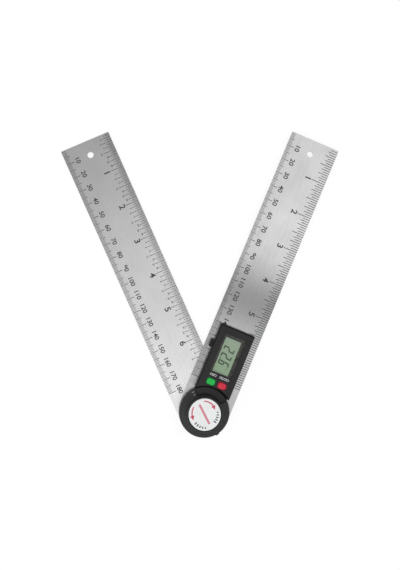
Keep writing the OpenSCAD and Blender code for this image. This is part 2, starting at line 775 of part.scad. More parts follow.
module green_button() {
    color([0.1, 0.72, 0.36]) on_upper() button(button_y[0]);
}

module red_button() {
    color([0.85, 0.2, 0.3]) on_upper() button(button_y[1]);
}

// ---- Battery ----------------------------------------------------------------------------------------------

// A shallow tray, open toward the display unit's inside, with a front plate that closes the slot
module battery_tray() {
    inner_y = mm_side - tray_depth;
    height = z_cell_top - z_tray;
    color([0.13, 0.13, 0.14]) on_upper() difference() {
        union() {
            translate([cell_x - tray_half, inner_y, z_tray]) cube([2 * tray_half, tray_depth, height]);
            translate([cell_x - lip_l / 2, mm_side - eps, z_tray + height / 2 - lip_t / 2])
                cube([lip_l, lip_reach + eps, lip_t]);
        }
        translate([cell_x, cell_y, z_cell]) cylinder(d = cell_d + 2 * fit - eps, h = cell_t + 1);
        translate([cell_x - contact_w / 2 - 0.6, inner_y - 1, z_tray - 1])
            cube([contact_w + 1.2, cell_y + 7 - inner_y, tray_floor + 2]);
    }
}

module coin_cell() {
    color([0.83, 0.83, 0.82]) on_upper() translate([cell_x, cell_y, z_cell]) union() {
        cylinder(d = cell_d - 2.4, h = 0.3);
        translate([0, 0, 0.3 - eps]) cylinder(d = cell_d, h = cell_t - 0.3 + eps);
    }
}

lower_blade();
pivot_stud();
pivot_screws();
friction_washer();
encoder_rotor();
wave_spring();
retaining_ring();
upper_blade();
housing_base();
collar_screws();
housing_screws();
main_board();
controller_chip();
clock_crystal();
key_switches();
negative_contact();
positive_contact();
conductive_strip();
display_panel();
display_gasket();
display_window();
housing_cover();
pressure_washer();
lock_knob();
knob_insert();
knob_label();
green_button();
red_button();
battery_tray();
coin_cell();
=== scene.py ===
# A digital angle finder: two steel rules on one locking pivot, with a display unit on the upper rule.
# The pieces come in the order in which the tool is put together. Sizes are in millimetres.

from math import cos, pi, radians, sin

import bmesh
import bpy
import numpy as np
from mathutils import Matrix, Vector


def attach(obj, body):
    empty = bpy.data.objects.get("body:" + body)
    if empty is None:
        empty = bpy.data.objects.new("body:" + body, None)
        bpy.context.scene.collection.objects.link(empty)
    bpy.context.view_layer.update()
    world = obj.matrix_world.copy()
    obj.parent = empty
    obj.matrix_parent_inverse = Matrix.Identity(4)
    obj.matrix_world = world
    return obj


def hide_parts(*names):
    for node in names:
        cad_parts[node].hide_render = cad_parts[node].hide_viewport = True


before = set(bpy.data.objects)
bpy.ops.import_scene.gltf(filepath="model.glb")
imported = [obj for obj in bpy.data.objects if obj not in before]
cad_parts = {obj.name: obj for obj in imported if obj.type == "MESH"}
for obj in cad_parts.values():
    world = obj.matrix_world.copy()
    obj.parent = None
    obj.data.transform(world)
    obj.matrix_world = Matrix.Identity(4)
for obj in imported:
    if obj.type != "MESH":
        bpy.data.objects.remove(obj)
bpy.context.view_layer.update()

# ---- Lower blade ----
# The fixed rule: a strip of stainless steel, blanked with its round end and hanging hole, then brushed
# along its length. Tumbling has broken its edges, so the frame's solid is copied and given a fine bevel.

mm = 0.001
blade_l, blade_half = 200.0, 17.4
lower_top = 1.2
lower_turn = radians(113.3)


def turned(points, turn):
    """Millimetre points of an arm's own frame, x along the arm, turned about the pivot and put in metres."""
    x, y, z = np.moveaxis(np.asarray(points, float), -1, 0)
    return mm * np.stack([x * cos(turn) - y * sin(turn), x * sin(turn) + y * cos(turn), z], -1)


def shape(name, points, faces):
    """A mesh object from an array of corners in metres and the corner numbers of each face."""
    mesh = bpy.data.meshes.new(name)
    mesh.from_pydata(np.reshape(points, (-1, 3)).tolist(), [], [list(map(int, f)) for f in faces])
    piece = bpy.data.objects.new(name, mesh)
    bpy.context.scene.collection.objects.link(piece)
    return piece


def dress(piece, material, body, slot, *nodes):
    """Gives a piece its finish, fixes it to a body and hides the frame's nodes that it stands for."""
    piece.data.materials.clear()
    piece.data.materials.append(material)
    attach(piece, body)
    if nodes:
        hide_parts(*nodes)
    return piece


def joined_copy(node, name):
    """A copy of a frame node with its loose triangles merged and its flat areas made whole faces again."""
    piece = shape(name, np.zeros((0, 3)), [])
    shell = bmesh.new()
    shell.from_mesh(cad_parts[node].data)
    bmesh.ops.remove_doubles(shell, verts=shell.verts, dist=0.0005 * mm)
    bmesh.ops.dissolve_limit(shell, angle_limit=radians(0.6), verts=shell.verts, edges=shell.edges)
    shell.to_mesh(piece.data)
    shell.free()
    return piece


def break_edges(piece, width, segments=2, angle=35):
    """Rounds every edge sharper than an angle by a bevel of one width, and shades the rest smooth."""
    piece.data.shade_smooth()
    piece.data.set_sharp_from_angle(angle=radians(angle))
    bevel = piece.modifiers.new("broken edges", "BEVEL")
    bevel.width, bevel.segments = width * mm, segments
    bevel.limit_method, bevel.angle_limit = "ANGLE", radians(angle)
    bevel.harden_normals = True
    return piece


def lay_grain(piece, turn):
    """A UV map in metres, U across the blade and V along it. The steel's sheen is drawn out along U."""
    mesh = piece.data
    spots = np.empty(3 * len(mesh.vertices))
    mesh.vertices.foreach_get("co", spots)
    corners = np.empty(len(mesh.loops), int)
    mesh.loops.foreach_get("vertex_index", corners)
    x, y, _ = spots.reshape(-1, 3)[corners].T
    grain = np.stack([y * cos(turn) - x * sin(turn), x * cos(turn) + y * sin(turn)], -1)
    mesh.uv_layers.new(name="grain").uv.foreach_set("vector", grain.astype(np.float32).ravel())


def put(tree, kind, inputs=None, **settings):
    """Adds a shader node. An input is linked where it is given a socket, and set where it has a value."""
    node = tree.nodes.new("ShaderNode" + kind)
    for key, value in settings.items():
        setattr(node, key, value)
    for key, value in (inputs or {}).items():
        if isinstance(value, bpy.types.NodeSocket):
            tree.links.new(value, node.inputs[key])
        else:
            node.inputs[key].default_value = value
    return node


def place(tree):
    """Where a point of a piece lies, in the piece's own metres."""
    return put(tree, "TexCoord").outputs["Object"]


def along_blade(tree, turn):
    """The same, turned so that x runs along an arm."""
    return put(tree, "Mapping", {"Vector": place(tree), "Rotation": (0, 0, -turn)}).outputs[0]


def noise(tree, where, scale, detail=2.0):
    """Soft noise about 0.5, with a scale of waves per metre and finer waves in it by its detail."""
    return put(tree, "TexNoise", {"Vector": where, "Scale": scale, "Detail": detail}).outputs[0]


def maths(tree, operation, *values):
    """The number that an operation makes of values."""
    return put(tree, "Math", dict(enumerate(values)), operation=operation).outputs[0]


def effect(name, takes, gives):
    """An empty shader group: takes maps each number it takes to its first value, gives names its outputs."""
    group = bpy.data.node_groups.new(name, "ShaderNodeTree")
    face = group.interface
    face.new_socket("Vector", in_out="INPUT", socket_type="NodeSocketVector")
    for label, value in takes.items():
        face.new_socket(label, in_out="INPUT", socket_type="NodeSocketFloat").default_value = value
    for label in gives:
        face.new_socket(label, in_out="OUTPUT", socket_type="NodeSocketFloat")
    return group, group.nodes.new("NodeGroupInput").outputs, group.nodes.new("NodeGroupOutput").inputs


def finish(name, colour, metallic, roughness, specular=0.5, **plain):
    """A new material whose Principled shader carries the values that are the same all over."""
    material = bpy.data.materials.new(name)
    material.use_nodes = True
    tree = material.node_tree
    shader = tree.nodes["Principled BSDF"]
    plain |= {"Base Color": (*colour, 1), "Metallic": metallic, "Roughness": roughness,
              "Specular IOR Level": specular}
    for key, value in plain.items():
        shader.inputs[key].default_value = value
    return material, tree, shader


def sized(tree, value, low, high, start=0.3, end=0.7):
    """A number that runs from low to high while a value runs from start to end."""
    return put(tree, "MapRange", {"Value": value, "From Min": start, "From Max": end,
                                  "To Min": low, "To Max": high}).outputs[0]


def tinted(tree, share, low, high):
    """A colour that runs from low to high while a share runs from 0 to 1."""
    return put(tree, "Mix", {0: share, 6: (*low, 1), 7: (*high, 1)}, data_type="RGBA").outputs[2]


def weave_in(tree, *weighted):
    """The sum of values, each times its weight."""
    total = 0.0
    for value, weight in weighted:
        total = maths(tree, "MULTIPLY_ADD", value, weight, total)
    return total


def relief(tree, shader, height, depth):
    """Gives a shader a bump whose full height is a depth in millimetres."""
    bump = put(tree, "Bump", {"Height": height, "Distance": depth * mm})
    tree.links.new(bump.outputs[0], shader.inputs["Normal"])


# Brushed grain: lines drawn out 40 times along x, coarser strokes among them, and broad soft clouds
brushed, taken, given = effect("brushed grain", {"Lines per mm": 6.0}, ["Tone", "Cloud", "Height"])
per_metre = maths(brushed, "MULTIPLY", taken["Lines per mm"], 1000.0)
drawn = put(brushed, "VectorMath", {0: taken["Vector"], 1: (0.025, 1, 1)}, operation="MULTIPLY").outputs[0]
lines = noise(brushed, drawn, per_metre)
strokes = noise(brushed, drawn, 1100, 3)
clouds = noise(brushed, taken["Vector"], 60)
both = weave_in(brushed, (lines, 0.6), (strokes, 0.4))
brushed.links.new(sized(brushed, both, 0, 1), given["Tone"])
brushed.links.new(sized(brushed, clouds, 0, 1), given["Cloud"])
brushed.links.new(both, given["Height"])


def brushed_steel(name, turn, dark, light):
    """Stainless steel brushed along a blade: lines in colour, gloss and relief, sheen drawn out across."""
    material, tree, steel = finish(name, light, 1.0, 0.25, Anisotropic=0.9)
    grain = put(tree, "Group", {"Vector": along_blade(tree, turn)}, node_tree=brushed).outputs
    tone = weave_in(tree, (grain["Tone"], 0.6), (grain["Cloud"], 0.4))
    tree.links.new(tinted(tree, tone, dark, light), steel.inputs["Base Color"])
    tree.links.new(sized(tree, tone, 0.28, 0.22, 0, 1), steel.inputs["Roughness"])
    tree.links.new(put(tree, "Tangent", direction_type="UV_MAP", uv_map="grain").outputs[0],
                   steel.inputs["Tangent"])
    relief(tree, steel, grain["Height"], 0.004)
    return material


lower_blade = break_edges(joined_copy("lower_blade", "lower_rule"), 0.12)
lay_grain(lower_blade, lower_turn)
dress(lower_blade, brushed_steel("lower_rule_steel", lower_turn, (0.57, 0.57, 0.575), (0.71, 0.71, 0.715)),
      "lower_arm", "blade_steel", "lower_blade")

# ---- Graduations of the lower blade ----
# Inches in 64ths on the inner edge and millimetres on the outer one, counted from the tip. They are etched
# black into the steel; here each stroke is a film a fiftieth of a millimetre thick on the blade.

ink_film = 0.02


def ink_on(level):
    """The lowest and the highest point of ink on a surface at a level, a little of it sunk in."""
    return level - ink_film / 2, level + ink_film


def strokes_on(name, marks, turn, level):
    """Thin closed boxes, one a graduation. A mark is its place along the arm, two ends across and width."""
    along, start, end, width = np.array(marks, float).T
    x = along[:, None] + width[:, None] * np.array([-0.5, 0.5, 0.5, -0.5])
    low, high = np.minimum(start, end), np.maximum(start, end)
    y = np.stack([low, low, high, high], -1)
    flat = np.stack([x, y], -1)
    bottom, top = (np.concatenate([flat, np.full((*x.shape, 1), z)], -1) for z in ink_on(level))
    sides = [[0, 3, 2, 1], [4, 5, 6, 7], [0, 1, 5, 4], [1, 2, 6, 5], [2, 3, 7, 6], [3, 0, 4, 7]]
    faces = np.array(sides)[None] + 8 * np.arange(len(along))[:, None, None]
    return shape(name, turned(np.concatenate([bottom, top], 1), turn), faces.reshape(-1, 4))


def edge_scale(count, pitch, kinds, side):
    """The strokes of one edge: number i lies i pitches from the tip, and the first kind whose divisor
    divides i gives its depth from the edge and its width."""
    marks = []
    for i in range(1, count + 1):
        depth, width = next(kind[1:] for kind in kinds if i % kind[0] == 0)
        marks.append((blade_l - i * pitch, side * blade_half, side * (blade_half - depth), width))
    return marks


letter_shapes = {}


def lettering(text):
    """The built-in face's outline of a text, a little bolder, filled and a little thick: corners, faces."""
    if text not in letter_shapes:
        curve = bpy.data.curves.new(text, "FONT")
        curve.body, curve.resolution_u, curve.extrude, curve.offset = text, 6, 0.01, 0.02
        holder = bpy.data.objects.new(text, curve)
        bpy.context.scene.collection.objects.link(holder)
        bpy.context.view_layer.update()
        mesh = bpy.data.meshes.new_from_object(holder.evaluated_get(bpy.context.evaluated_depsgraph_get()))
        spots = np.array([v.co for v in mesh.vertices])
        letter_shapes[text] = spots, [list(p.vertices) for p in mesh.polygons]
        bpy.data.objects.remove(holder)
        bpy.data.meshes.remove(mesh)
    return letter_shapes[text]


def numbers_on(name, marks, turn, level):
    """Printed numbers as one mesh. A mark is its text, its place along and across the arm, its height, and
    how much wider than the face it is set. They read upright with the blade's tip at the left, so their own
    x runs toward the pivot."""
    digit = lettering("8")[0]
    tall, middle = np.ptp(digit[:, 1]), (digit[:, 1].min() + digit[:, 1].max()) / 2
    bottom, top = ink_on(level)
    points, faces, start = [], [], 0
    for text, along, across, height, wide in marks:
        spots, parts = lettering(text)
        x = (spots[:, 0] - (spots[:, 0].min() + spots[:, 0].max()) / 2) * height / tall * wide
        y = (spots[:, 1] - middle) * height / tall
        z = np.where(spots[:, 2] > 0, top, bottom)
        points.append(np.stack([along - x, across - y, z], -1))
        faces += [[start + i for i in part] for part in parts]
        start += len(spots)
    return shape(name, turned(np.concatenate(points), turn), faces)


def mottled(name, dark, light, scale, detail, roughness, depth=0.0, **plain):
    """A material that isn't metal, its colour running with noise from dark to light. Its roughness is one
    value, or a pair between which the noise takes it. Where a depth is given, the noise is embossed too."""
    even = isinstance(roughness, float)
    material, tree, shader = finish(name, light, 0.0, roughness if even else roughness[0], **plain)
    level = noise(tree, place(tree), scale, detail)
    tree.links.new(tinted(tree, sized(tree, level, 0, 1), dark, light), shader.inputs["Base Color"])
    if not even:
        tree.links.new(sized(tree, level, *roughness), shader.inputs["Roughness"])
    if depth:
        relief(tree, shader, level, depth)
    return material


# Etched black is dull and thins here and there to show a little steel
scale_black = mottled("etched_scale", (0.02, 0.02, 0.022), (0.07, 0.07, 0.072), 2500, 2, (0.45, 0.7))
inch, in_edge, mm_edge = 25.4, -1, 1
lower_strokes = edge_scale(448, inch / 64, [(64, 9.6, 0.34), (32, 9.1, 0.32), (16, 7.6, 0.32),
                                            (8, 6.1, 0.32), (4, 4.7, 0.28), (2, 3.9, 0.16), (1, 3.0, 0.09)],
                           in_edge)
lower_strokes += edge_scale(180, 1.0, [(10, 5.5, 0.4), (5, 4.1, 0.38), (1, 3.1, 0.28)], mm_edge)
lower_numbers = [(str(i), blade_l - i * inch, in_edge * (blade_half - 12.0), 4.25, 1.12)
                 for i in range(1, 8)]
lower_numbers += [(str(10 * i), blade_l - 10 * i, mm_edge * (blade_half - 8.2), 3.2, 1.06)
                  for i in range(1, 19)]
for whole in range(7):
    for part, depth in ((4, 7.1), (8, 8.55), (12, 7.1), (16, 10.2), (20, 7.1), (24, 8.55), (28, 7.1)):
        lower_numbers.append((str(part), blade_l - (whole + part / 32) * inch,
                              in_edge * (blade_half - depth), 1.2, 1.0))
dress(strokes_on("lower_rule_strokes", lower_strokes, lower_turn, lower_top), scale_black,
      "lower_arm", "blade_steel")
dress(numbers_on("lower_rule_numbers", lower_numbers, lower_turn, lower_top), scale_black,
      "lower_arm", "blade_steel")

# ---- Pivot stud and its screws ----
# A stud turned from steel bar: journal, keyed neck and thread. Its spigot is pressed into the lower blade,
# and three countersunk screws, zinc plated, hold it from below.

# Turned rings: fine circles about the z axis, as a lathe leaves them
lathe, taken, given = effect("turned rings", {"Rings per mm": 5.0}, ["Tone", "Height"])
flat = put(lathe, "VectorMath", {0: taken["Vector"], 1: (1, 1, 0)}, operation="MULTIPLY").outputs[0]
radius = put(lathe, "VectorMath", {0: flat}, operation="LENGTH").outputs["Value"]
height = put(lathe, "SeparateXYZ", {0: taken["Vector"]}).outputs["Z"]
per_metre = maths(lathe, "MULTIPLY", taken["Rings per mm"], 1000.0)
reach = maths(lathe, "MULTIPLY", maths(lathe, "ADD", radius, height), per_metre)
rings = put(lathe, "TexNoise", {"W": reach, "Scale": 1.0, "Detail": 2}, noise_dimensions="1D").outputs[0]
lathe.links.new(sized(lathe, rings, 0, 1), given["Tone"])
lathe.links.new(rings, given["Height"])


def turned_metal(name, dark, light, roughness):
    """Metal turned on a lathe, its rings lighter and darker and a few thousandths deep."""
    material, tree, metal = finish(name, light, 1.0, roughness)
    ring = put(tree, "Group", {"Vector": place(tree)}, node_tree=lathe).outputs
    tree.links.new(tinted(tree, ring["Tone"], dark, light), metal.inputs["Base Color"])
    tree.links.new(sized(tree, ring["Tone"], roughness + 0.06, roughness - 0.04, 0, 1),
                   metal.inputs["Roughness"])
    relief(tree, metal, ring["Height"], 0.006)
    return material


def plated(name, dark, light, roughness, spots_per_mm=3.0):
    """Plated or rolled sheet metal: soft cloudy tone, and pitting as fine as the plating's crystals."""
    material, tree, metal = finish(name, light, 1.0, roughness)
    cloud = noise(tree, place(tree), 1000 * spots_per_mm / 6, 3)
    pits = noise(tree, place(tree), 1000 * spots_per_mm, 1)
    tree.links.new(tinted(tree, sized(tree, cloud, 0, 1), dark, light), metal.inputs["Base Color"])
    tree.links.new(sized(tree, pits, roughness - 0.06, roughness + 0.1), metal.inputs["Roughness"])
    relief(tree, metal, pits, 0.01)
    return material


def coat(node, material):
    """Puts a finish on a piece of the frame that keeps its shape."""
    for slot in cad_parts[node].material_slots:
        slot.material = material


coat("pivot_stud", turned_metal("turned_stud", (0.42, 0.42, 0.43), (0.60, 0.60, 0.61), 0.28))
zinc = plated("zinc_plate", (0.46, 0.48, 0.50), (0.66, 0.67, 0.69), 0.34)
coat("pivot_screws", zinc)

# ---- Friction washer ----
# A thin polymer washer between the blades, punched from sheet. It is off-white with a waxy sheen and
# slightly rubbed rings where the upper blade has turned on it.

washer, tree, wax = finish("washer_sheet", (0.80, 0.79, 0.74), 0.0, 0.45)
rubbed = put(tree, "Group", {"Vector": place(tree), "Rings per mm": 1.5}, node_tree=lathe).outputs
waxy = tinted(tree, rubbed["Tone"], (0.70, 0.69, 0.64), (0.84, 0.83, 0.79))
tree.links.new(waxy, wax.inputs["Base Color"])
tree.links.new(sized(tree, rubbed["Tone"], 0.55, 0.38, 0, 1), wax.inputs["Roughness"])
coat("friction_washer", washer)

# ---- Upper blade ----
# The moving rule turns on the stud's journal above the washer. It is the same brushed steel, set about a
# sixth darker than the lower blade's: partly painted shade for the display unit's shadow and dark reflection
# along it, partly a real difference in brushing. It has countersunk holes from below for the screws of the
# base and the display unit.

upper_top = 2.6
upper_turn = radians(66.7)
upper_blade = break_edges(joined_copy("upper_blade", "upper_rule"), 0.12)
lay_grain(upper_blade, upper_turn)
dress(upper_blade, brushed_steel("upper_rule_steel", upper_turn, (0.50, 0.50, 0.505), (0.62, 0.62, 0.625)),
      "upper_arm", "blade_steel", "upper_blade")

# Its graduations: inches in 16ths on the outer edge, millimetres on the inner one
upper_strokes = edge_scale(112, inch / 16, [(16, 9.8, 0.44), (8, 8.6, 0.44), (4, 7.45, 0.44),
                                            (2, 6.35, 0.42), (1, 5.05, 0.42)], in_edge)
upper_strokes += edge_scale(180, 1.0, [(10, 5.1, 0.4), (5, 3.7, 0.38), (1, 2.8, 0.28)], mm_edge)
upper_numbers = [(str(i), blade_l - i * inch, in_edge * (blade_half - 12.5), 4.3, 1.12)
                 for i in range(1, 6)]
upper_numbers += [(str(10 * i), blade_l - 10 * i, mm_edge * (blade_half - 7.8), 3.3, 1.12)
                  for i in range(1, 15)]
dress(strokes_on("upper_rule_strokes", upper_strokes, upper_turn, upper_top), scale_black,
      "upper_arm", "blade_steel")
dress(numbers_on("upper_rule_numbers", upper_numbers, upper_turn, upper_top), scale_black,
      "upper_arm", "blade_steel")

# ---- Housing base and its screws ----
# A charcoal moulding under the display unit with a low collar about the pivot. Screws through the upper
# blade hold it; two of its pegs are melted over the circuit board.

# Moulded grain: a spark-eroded mould's fine pimples, and the slow change of gloss between thick and thin
moulded, taken, given = effect("moulded grain", {"Pimples per mm": 5.0}, ["Tone", "Height"])
per_metre = maths(moulded, "MULTIPLY", taken["Pimples per mm"], 1000.0)
pimples = noise(moulded, taken["Vector"], per_metre, 1.5)
flow = noise(moulded, taken["Vector"], 90)
moulded.links.new(sized(moulded, weave_in(moulded, (pimples, 0.35), (flow, 0.65)), 0, 1), given["Tone"])
moulded.links.new(pimples, given["Height"])

# Rubbed edges: where the surface turns within a third of a millimetre, handling has polished it paler
rubbing, taken, given = effect("rubbed edges", {"Reach": 0.0003}, ["Worn"])
eased = put(rubbing, "Bevel", {"Radius": taken["Reach"]}, samples=4).outputs[0]
facing = put(rubbing, "VectorMath", {0: eased, 1: put(rubbing, "NewGeometry").outputs["Normal"]},
             operation="DOT_PRODUCT").outputs["Value"]
patchy = sized(rubbing, noise(rubbing, taken["Vector"], 400, 3), 0.35, 1)
turning = sized(rubbing, facing, 1, 0, 0.86, 0.995)
rubbing.links.new(maths(rubbing, "MULTIPLY", turning, patchy), given["Worn"])


def moulded_plastic(name, dark, light, roughness, painted_slope_shade=None, worn=None, pimple=0.012, **plain):
    """A moulded plastic with its grain in colour, gloss and relief. Where a slope colour is given, faces
    that lean by about 25 to 60 degrees have that colour: painted shade on chamfers and sloping sides. Where
    worn is given, the edges are rubbed to that colour."""
    material, tree, plastic = finish(name, light, 0.0, roughness, **plain)
    grain = put(tree, "Group", {"Vector": place(tree)}, node_tree=moulded).outputs
    colour = tinted(tree, grain["Tone"], dark, light)
    gloss = sized(tree, grain["Tone"], roughness - 0.05, roughness + 0.07, 0, 1)
    if worn:
        rub = put(tree, "Group", {"Vector": place(tree)}, node_tree=rubbing).outputs["Worn"]
        colour = put(tree, "Mix", {0: rub, 6: colour, 7: (*worn, 1)}, data_type="RGBA").outputs[2]
    # Painted shade: faces leaning about 25 to 60 degrees take the darker slope colour
    if painted_slope_shade:
        upright = put(tree, "SeparateXYZ", {0: put(tree, "NewGeometry").outputs["Normal"]}).outputs["Z"]
        off_slope = maths(tree, "ABSOLUTE", maths(tree, "SUBTRACT", upright, 0.7))
        level = sized(tree, off_slope, 0, 1, 0.08, 0.26)
        colour = put(tree, "Mix", {0: level, 6: (*painted_slope_shade, 1), 7: colour}, data_type="RGBA").outputs[2]
        gloss = weave_in(tree, (gloss, 1.0), (level, 0.1))
    tree.links.new(colour, plastic.inputs["Base Color"])
    tree.links.new(gloss, plastic.inputs["Roughness"])
    relief(tree, plastic, grain["Height"], pimple)
    return material


coat("housing_base", moulded_plastic("base_moulding", (0.012, 0.012, 0.013), (0.02, 0.02, 0.021), 0.5,
                                     specular=0.3))
coat("collar_screws", zinc)
coat("housing_screws", zinc)

# ---- Circuit board ----
# A green glass-fibre board. Copper tracks run under its solder mask, and its round end carries the fixed
# plates of the angle encoder, a ring of fine radial fields, below the rotor.


def encoder_board(name, fields, inner, outer):
    """Solder mask over copper: tracks along a web of cells, and radial fields between two radii."""
    material, tree, board = finish(name, (0.03, 0.16, 0.07), 0.0, 0.32)
    spot = place(tree)
    x, y = (put(tree, "SeparateXYZ", {0: spot}).outputs[i] for i in range(2))
    turns = maths(tree, "MULTIPLY", maths(tree, "ARCTAN2", y, x), fields)
    field = sized(tree, maths(tree, "SINE", turns), 0, 1, -0.1, 0.1)
    reach = put(tree, "VectorMath", {0: spot}, operation="LENGTH").outputs["Value"]
    within = maths(tree, "MULTIPLY", maths(tree, "GREATER_THAN", reach, inner * mm),
                   maths(tree, "LESS_THAN", reach, outer * mm))
    cell = put(tree, "TexVoronoi", {"Vector": spot, "Scale": 450}, feature="DISTANCE_TO_EDGE").outputs[0]
    tracks = sized(tree, cell, 1, 0, 0.05, 0.09)
    copper = maths(tree, "MAXIMUM", maths(tree, "MULTIPLY", field, within), tracks)
    mask = tinted(tree, copper, (0.015, 0.11, 0.045), (0.06, 0.26, 0.10))
    tree.links.new(mask, board.inputs["Base Color"])
    tree.links.new(sized(tree, copper, 0.38, 0.25, 0, 1), board.inputs["Roughness"])
    relief(tree, board, copper, 0.03)
    return material


coat("main_board", encoder_board("stator_board", 48, 8, 13.5))

# ---- Encoder rotor ----
# A second small board keyed to the stud's flat, so that it stands still with the lower blade while the
# board turns under it. Its coarser radial fields face down.

coat("encoder_rotor", encoder_board("rotor_board", 12, 6, 13))

# ---- Wave spring and retaining ring ----
# A ring of spring steel bent into three waves presses the stack together for an even drag. An open ring
# of blued steel, sprung into the stud's groove, keeps it there.

coat("wave_spring", plated("spring_strip", (0.40, 0.41, 0.43), (0.56, 0.57, 0.59), 0.3))
coat("retaining_ring", plated("blued_ring", (0.09, 0.10, 0.13), (0.17, 0.18, 0.22), 0.35))

# ---- Controller chip and clock crystal ----
# The controller is a bare chip under a drop of black resin, which sets with a soft skin. The clock
# crystal lies beside it in its drawn can.

coat("controller_chip", mottled("resin_drop", (0.010, 0.010, 0.011), (0.022, 0.022, 0.024),
                                900, 2, (0.22, 0.42), depth=0.05))
coat("clock_crystal", plated("drawn_can", (0.52, 0.52, 0.50), (0.70, 0.70, 0.68), 0.25, 5.0))

# ---- Key switches ----
# Two tactile switches of light grey nylon, soldered to the board under the buttons' stems.

coat("key_switches", moulded_plastic("switch_nylon", (0.48, 0.48, 0.50), (0.60, 0.60, 0.62), 0.5))

# ---- Battery contacts and conductive strip ----
# Contacts of springy gold-flashed brass touch the cell from below and at its edge. The strip that joins
# board and display glass is rubber in layers, conducting black and insulating grey by turns.

contact = plated("contact_brass", (0.62, 0.46, 0.20), (0.80, 0.63, 0.32), 0.3)
coat("negative_contact", contact)
coat("positive_contact", contact)
layered, tree, rubber = finish("layered_rubber", (0.05, 0.05, 0.05), 0.0, 0.6)
layers = put(tree, "TexWave", {"Vector": along_blade(tree, upper_turn), "Scale": 1600, "Distortion": 0.4},
             bands_direction="X").outputs[1]
tree.links.new(tinted(tree, sized(tree, layers, 0, 1, 0.4, 0.6), (0.015, 0.015, 0.015), (0.22, 0.22, 0.21)),
               rubber.inputs["Base Color"])
tree.links.new(sized(tree, layers, 0.5, 0.7, 0, 1), rubber.inputs["Roughness"])
coat("conductive_strip", layered)

# ---- Display panel ----
# Two glasses with the liquid crystal between them. A grey-green polarising film covers the front one up to
# a border, where the bare glass shows dark, and the lit segments stand as dark strokes in it.

glass_top = 9.05
film_top = glass_top + 0.12
display_x, display_y = (28.3, 52.5), (-4.84, 6.1)


def printed(name, outlines, turn, low, high):
    """Flat closed prisms on the outlines of an arm's own frame, each a list of corners, as one mesh."""
    points, faces, start = [], [], 0
    for outline in outlines:
        flat = np.array(outline, float)
        area = np.sum(flat[:, 0] * np.roll(flat[:, 1], -1) - flat[:, 1] * np.roll(flat[:, 0], -1))
        flat = flat if area > 0 else flat[::-1]
        n = len(flat)
        points += [np.column_stack([flat, np.full(n, z)]) for z in (low, high)]
        faces.append([start + n + i for i in range(n)])
        faces.append([start + n - 1 - i for i in range(n)])
        faces += [[start + i, start + (i + 1) % n, start + n + (i + 1) % n, start + n + i] for i in range(n)]
        start += 2 * n
    return shape(name, turned(np.concatenate(points), turn), faces)


def oblong(x, y, corner, steps=6):
    """The outline of a rectangle between two x and two y, its corners rounded by a radius."""
    turn = np.linspace(0, pi / 2, steps)
    outline = []
    for i, (cx, cy) in enumerate([(x[1] - corner, y[1] - corner), (x[0] + corner, y[1] - corner),
                                  (x[0] + corner, y[0] + corner), (x[1] - corner, y[0] + corner)]):
        outline += [(cx + corner * cos(t + i * pi / 2), cy + corner * sin(t + i * pi / 2)) for t in turn]
    return outline


coat("display_panel", mottled("display_glass", (0.040, 0.039, 0.031), (0.054, 0.053, 0.044),
                              300, 2, (0.07, 0.16), specular=0.3))

polariser, tree, film = finish("polarising_film", (0.33, 0.42, 0.31), 0.0, 0.35)
reach = put(tree, "SeparateXYZ", {0: along_blade(tree, upper_turn)}).outputs["X"]
haze = noise(tree, place(tree), 160)
shift = weave_in(tree, (sized(tree, reach, 0, 0.8, 0.030, 0.052), 1.0), (haze, 0.4))
tree.links.new(tinted(tree, shift, (0.305, 0.47, 0.283), (0.37, 0.475, 0.348)), film.inputs["Base Color"])
tree.links.new(sized(tree, haze, 0.28, 0.4), film.inputs["Roughness"])
dress(printed("display_film", [oblong(display_x, display_y, 0.2)], upper_turn, glass_top, film_top),
      polariser, "upper_arm", "display_glass")


def segments_of(digit, left, top, wide, tall, bar, lean):
    """The lit strokes of a seven-segment digit, mitred where they meet. x runs toward the pivot from its
    left edge and y toward the millimetre edge from its top, and all lean by a share of the height."""
    middle, half, gap = tall / 2, bar / 2, 0.09
    level = [(gap, 0), (wide - gap, 0), (wide - bar - gap, bar), (bar + gap, bar)]
    right = [(wide, gap), (wide, middle - gap), (wide - half, middle - gap),
             (wide - bar, middle - half - gap), (wide - bar, bar + gap)]
    strokes = {"a": level, "b": right, "c": [(x, tall - y) for x, y in right],
               "d": [(x, tall - y) for x, y in level], "e": [(wide - x, tall - y) for x, y in right],
               "f": [(wide - x, y) for x, y in right],
               "g": [(half + gap, middle), (bar, middle - half), (wide - bar, middle - half),
                     (wide - half - gap, middle), (wide - bar, middle + half), (bar, middle + half)]}
    lit = {"2": "abged", "6": "acdefg"}[digit]
    return [[(left - (x + lean * (tall - y)), top + y) for x, y in strokes[name]] for name in lit]


reading = []
for digit, left in (("2", 47.28), ("2", 42.37), ("6", 37.43)):
    reading += segments_of(digit, left, top=-2.8, wide=3.0, tall=7.8, bar=0.92, lean=0.13)
# The decimal point, and the degree sign as an open ring
reading.append(oblong((37.85, 38.75), (4.15, 5.0), 0.2))
ring = np.linspace(0, 2 * pi - 0.02, 24)
reading.append([(32.35 + r * cos(t), -2.5 + r * sin(t))
                for r, way in ((0.48, 1), (0.32, -1)) for t in ring[::way]])
lit = mottled("lit_segment", (0.026, 0.044, 0.024), (0.046, 0.068, 0.041), 700, 1, 0.4)
dress(printed("display_reading", reading, upper_turn, film_top - 0.01, film_top + 0.01), lit,
      "upper_arm", "display_glass")

# ---- Gasket and window ----
# A frame of black foam lies on the glass. The window above it is clear acrylic, cut to fit and glued on
# the cover's ledge.

foam, tree, cells = finish("gasket_cells", (0.02, 0.02, 0.02), 0.0, 0.8)
pore = put(tree, "TexVoronoi", {"Vector": place(tree), "Scale": 5000}).outputs[0]
tree.links.new(tinted(tree, pore, (0.008, 0.008, 0.008), (0.04, 0.04, 0.04)), cells.inputs["Base Color"])
relief(tree, cells, pore, 0.08)
coat("display_gasket", foam)

